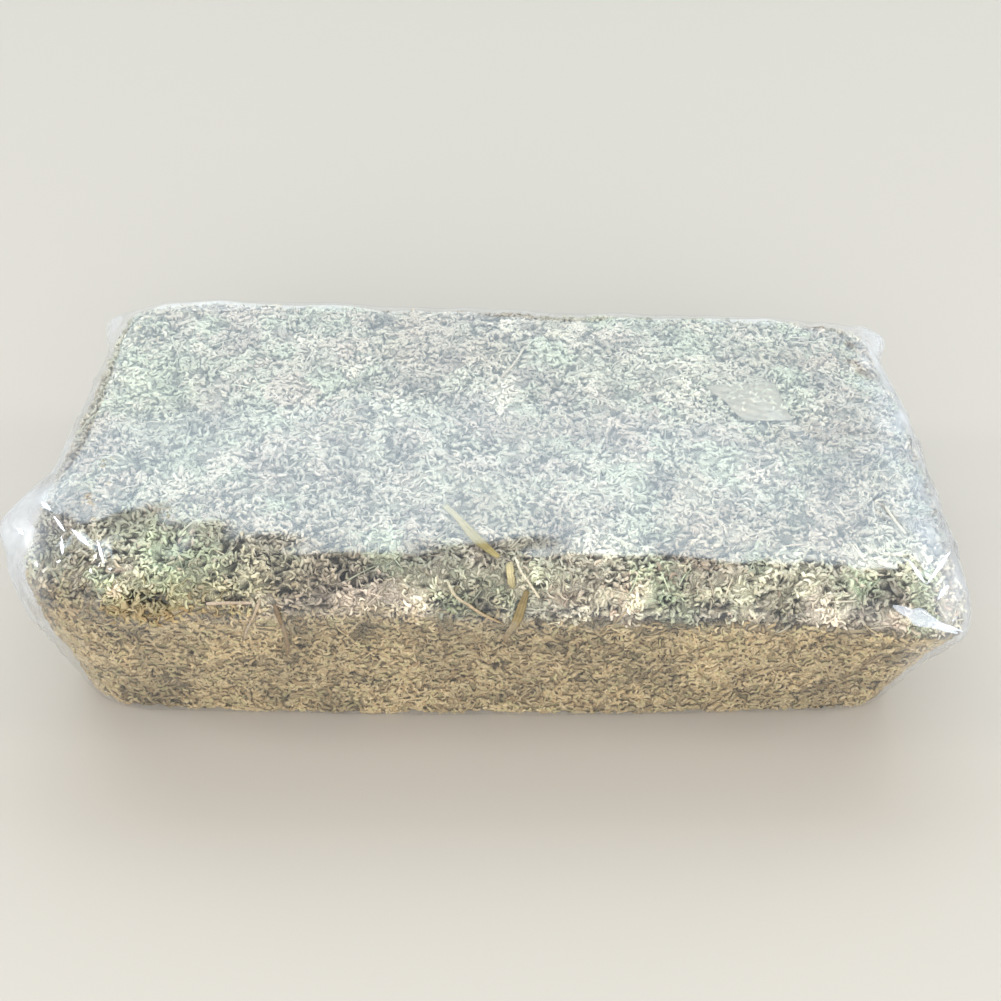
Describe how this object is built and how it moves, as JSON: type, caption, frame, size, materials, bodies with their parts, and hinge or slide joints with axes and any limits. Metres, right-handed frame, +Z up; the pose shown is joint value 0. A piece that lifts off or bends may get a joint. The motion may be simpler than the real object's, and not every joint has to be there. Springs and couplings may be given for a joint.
{
  "type": "bagged sphagnum moss bale",
  "caption": "Brick-shaped bale of pressed dried sphagnum moss with stray dry grass and twigs, wrapped in a loose clear plastic film bag; it lies flat on its underside.",
  "frame": {"origin": "middle of the bag's box in plan, on the surface that the bale lies on", "axes": "+X along the bale's length, +Y from its front towards its back, +Z up"},
  "size_m": [0.415, 0.2114, 0.0983],
  "materials": {
    "moss": "dry, matt, fibrous",
    "clear_film": "clear polyethylene film, glossy, with a slight milky haze",
    "dry_grass": "dry straw, satin",
    "dry_stem": "dry stem, matt",
    "leaf": "dry leaf, matt"
  },
  "bodies": {
    "root": {"moss_block": "moss", "film_bag": "clear_film", "grass_blade_top": "dry_grass", "grass_blade_shoulder": "dry_grass", "grass_blade_front": "dry_grass", "pale_fibre_shoulder": "dry_stem", "curved_fibre_front": "dry_stem", "pale_stem_left": "dry_stem", "slanting_stem_left": "dry_stem", "brown_twig_left": "dry_stem", "straw_back": "dry_stem", "straw_right": "dry_stem", "leaf_scrap_back": "leaf", "twig_right": "dry_stem"}
  },
  "joints": []
}
